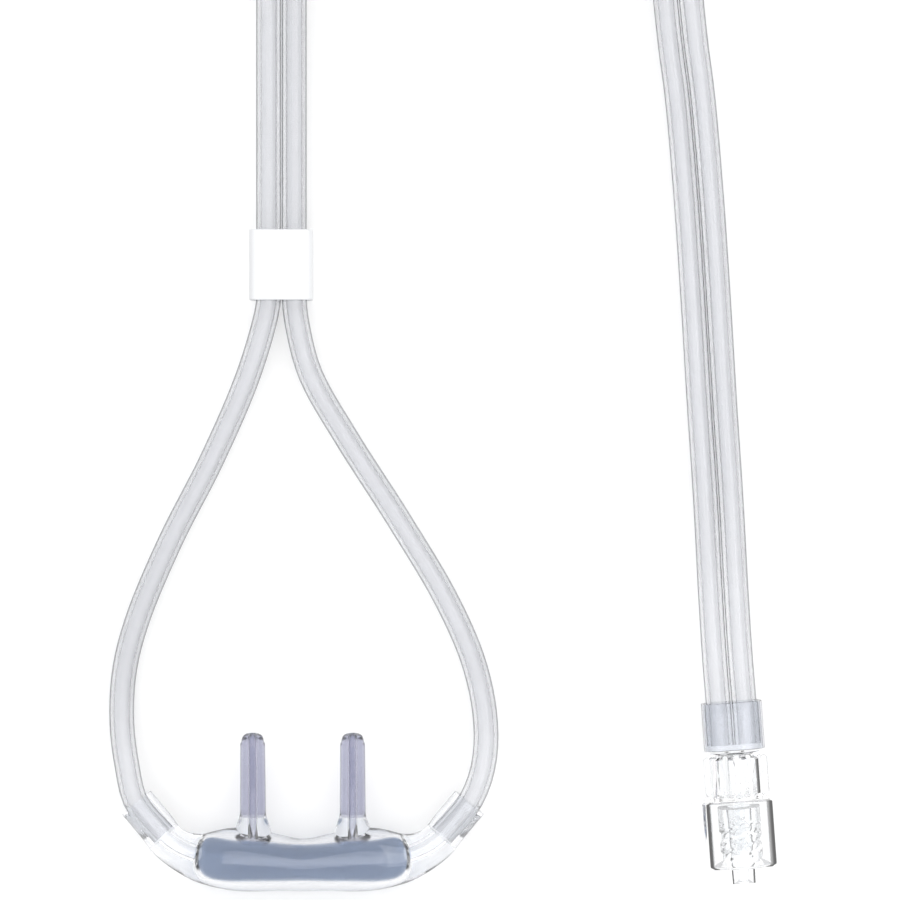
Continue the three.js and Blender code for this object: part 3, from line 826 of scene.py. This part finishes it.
def moulded_connector(sides=144):
    """A profile turned about the axis, in which the neck's radius swells at each rib, and the
    collar's bore narrows along two right-handed helices."""
    profile = turned_profile(
        [
            (NECK_BORE_RADIUS, NECK_Y),
            (NECK_TOP_RADIUS - MOULD_EDGE, NECK_Y),
            (NECK_TOP_RADIUS - MOULD_ROUND, NECK_Y + MOULD_ROUND),
            (NECK_TOP_RADIUS, NECK_Y + MOULD_EDGE),
            (NECK_BOTTOM_RADIUS, COLLAR_Y - NECK_FOOT),
            (NECK_BOTTOM_RADIUS + MOULD_ROUND, COLLAR_Y - MOULD_ROUND),
            (NECK_BOTTOM_RADIUS + MOULD_EDGE, COLLAR_Y),
            (COLLAR_RADIUS - COLLAR_EDGE, COLLAR_Y),
            (COLLAR_RADIUS - COLLAR_ROUND, COLLAR_Y + COLLAR_ROUND),
            (COLLAR_RADIUS, COLLAR_Y + COLLAR_EDGE),
            (COLLAR_RADIUS, RIM_Y - MOULD_EDGE),
            (COLLAR_RADIUS - MOULD_ROUND, RIM_Y - MOULD_ROUND),
            (COLLAR_RADIUS - MOULD_EDGE, RIM_Y),
            (COLLAR_BORE_RADIUS + BORE_EDGE, RIM_Y),
            (COLLAR_BORE_RADIUS, RIM_Y - BORE_EDGE),
            (COLLAR_BORE_RADIUS, COLLAR_Y + COLLAR_FLOOR),
            (NOZZLE_ROOT_RADIUS, COLLAR_Y + COLLAR_FLOOR),
            (NOZZLE_TIP_RADIUS, TIP_Y - TIP_EDGE),
            (NOZZLE_TIP_RADIUS - TIP_EDGE, TIP_Y),
            (NOZZLE_BORE_RADIUS, TIP_Y),
            (NOZZLE_BORE_RADIUS, COLLAR_Y),
        ],
        PROFILE_STEP,
    )
    turn = np.linspace(0, 2 * np.pi, sides, endpoint=False)[None]
    r, y = profile[:, :1], profile[:, 1:]
    on_skin = r > NECK_TOP_RADIUS - RIB_REACH
    from_top = eased((y - NECK_Y - MOULD_EDGE) / RIB_TOP_FADE)
    to_foot = eased((COLLAR_Y - RIB_FOOT_GAP - y) / RIB_FOOT_FADE)
    rib = eased((np.cos(RIB_COUNT * turn) + RIB_SHARE) / RIB_SOFTNESS)
    rib_top = NECK_BOTTOM_RADIUS + RIB_HEIGHT - r
    on_bore = np.isclose(r, COLLAR_BORE_RADIUS)
    from_floor = eased((y - RIM_Y + THREAD_REACH + THREAD_INSET) / THREAD_FADE)
    to_rim = eased((RIM_Y - THREAD_RIM_GAP - y) / THREAD_FADE)
    passed = THREAD_STARTS * ((RIM_Y - THREAD_INSET - y) / THREAD_LEAD - turn / (2 * np.pi))
    off_ridge = np.abs(passed - np.round(passed)) * THREAD_LEAD / THREAD_STARTS
    thread = eased((THREAD_HALF_WIDTH - off_ridge) / THREAD_FLANK)
    r = (
        r
        + on_skin * from_top * to_foot * rib * rib_top
        - on_bore * from_floor * to_rim * thread * THREAD_HEIGHT
    )
    points = np.stack([r * np.cos(turn), r * np.sin(turn), y + 0 * turn], axis=2)
    faces = grid_faces(len(profile) + 1, sides) % (len(profile) * sides)
    return add_piece("hard_luer", on_connector(points.reshape(-1, 3)), faces)


luer = moulded_connector()
# Clear polycarbonate from a polished mould: the clearest piece. The dark lines at its edges are
# painted shade, from the darker colour mixed in towards its outline.
luer.data.materials.append(
    clear_plastic("clear_polycarbonate", 1.585, 0.03, "#FAFBFC", "#2E2F36", 0.6, 4.0, 0.02)
)
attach(luer, "cannula")
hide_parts("luer_connector")

# Coil ties
# Two soft white bands round the coil's section, on opposite sides. Each is moulded as a flat
# strap and closed round the tubes, and it comes off when the line is used.
TIE_ANGLES = (math.radians(75), math.radians(255))
TIE_WIDTH = 3.5
TIE_THICKNESS = 0.6
TIE_CORNER = 1.6
TIE_BORE_CORNER = 1.0
TIE_EDGE = 0.15
COIL_BOTTOM = TIE_THICKNESS + TUBE_GAP
coil_half_height = len(set(layer for column, layer in TURNS)) * PITCH / 2
coil_half_width = len(COLUMN_RADII) * PITCH


def on_coil(p, angle):
    """Points of (across, up, along) put round the coil's section at an angle round the coil."""
    out = np.array([math.cos(angle), math.sin(angle)])
    side = np.array([-math.sin(angle), math.cos(angle)])
    flat = COIL_CENTRE + (COLUMN_RADII[1] + p[:, :1]) * out - p[:, 2:] * side
    return np.column_stack([flat, COIL_BOTTOM + coil_half_height + p[:, 1]])


for i, angle in enumerate(TIE_ANGLES):
    tie = sleeve_piece(
        f"white_band_{i + 1}",
        sleeve_rings(
            rounded_outline(
                coil_half_width + TUBE_GAP + TIE_THICKNESS,
                coil_half_height + TUBE_GAP + TIE_THICKNESS,
                TIE_CORNER,
            ),
            rounded_outline(
                coil_half_width + TUBE_GAP, coil_half_height + TUBE_GAP, TIE_BORE_CORNER
            ),
            TIE_WIDTH,
            TIE_EDGE,
        ),
        lambda p: on_coil(p, angle),
    )
    tie.data.materials.append(white)
    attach(tie, "cannula")
    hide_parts(f"coil_tie_{i + 1}")

# Table and light
# The cannula lies on a large sheet of matt white card under even light from all sides, so
# bright that the card is pure white in the picture and shows no shadow.
TABLE_HALF = 3  # metres

table_mesh = bpy.data.meshes.new("table")
table_corners = [(TABLE_HALF * x, TABLE_HALF * y, 0) for x, y in ((-1, -1), (1, -1), (1, 1), (-1, 1))]
table_mesh.from_pydata(table_corners, [], [(0, 1, 2, 3)])
table = bpy.data.objects.new("table", table_mesh)
bpy.context.collection.objects.link(table)
# Uncoated card: matt, a shade under pure white.
card = bpy.data.materials.new("white_card")
card.use_nodes = True
card.node_tree.nodes["Principled BSDF"].inputs["Base Color"].default_value = linear("#F4F4F4")
card.node_tree.nodes["Principled BSDF"].inputs["Roughness"].default_value = 0.9
table_mesh.materials.append(card)

# A white tent overhead, dark low down all round but for the far side, so that clear edges show.
world = bpy.data.worlds.new("studio")
bpy.context.scene.world = world
world.use_nodes = True
sky = world.node_tree
sky.nodes.clear()
way = add_node(
    sky,
    "ShaderNodeSeparateXYZ",
    {"Vector": add_node(sky, "ShaderNodeTexCoord").outputs["Generated"]},
)
high = add_node(
    sky,
    "ShaderNodeMapRange",
    {"Value": way.outputs["Z"], "From Min": 0.1, "From Max": 0.5},
    interpolation_type="SMOOTHSTEP",
)
low = add_node(
    sky,
    "ShaderNodeMapRange",
    {
        "Value": way.outputs["Y"],
        "From Min": 0.2,
        "From Max": 0.9,
        "To Min": 0.15,
        "To Max": 1.1,
    },
    interpolation_type="SMOOTHSTEP",
)
level = add_node(
    sky,
    "ShaderNodeMapRange",
    {
        "Value": high.outputs["Result"],
        "To Min": low.outputs["Result"],
        "To Max": 1.05,
    },
)
glow = add_node(
    sky,
    "ShaderNodeBackground",
    {"Color": linear("#FFFFFF"), "Strength": level.outputs["Result"]},
)
add_node(sky, "ShaderNodeOutputWorld", {"Surface": glow.outputs["Background"]})
bpy.context.scene.view_settings.view_transform = "Standard"

# Two softboxes fill in the shadows: one overhead, and a weaker one nearer the connector.
for name, place, tilt, size, watts in (
    ("overhead_softbox", (0.02, 0.05, 0.4), 0, (0.3, 0.3), 0.35),
    ("side_softbox", (0.12, 0.08, 0.22), 18, (0.09, 0.4), 0.16),
):
    lamp = bpy.data.lights.new(name, "AREA")
    lamp.shape = "RECTANGLE"
    lamp.size, lamp.size_y = size
    lamp.energy = watts
    lamp.use_shadow = False
    softbox = bpy.data.objects.new(name, lamp)
    bpy.context.collection.objects.link(softbox)
    softbox.location = place
    softbox.rotation_euler = (0, math.radians(tilt), 0)
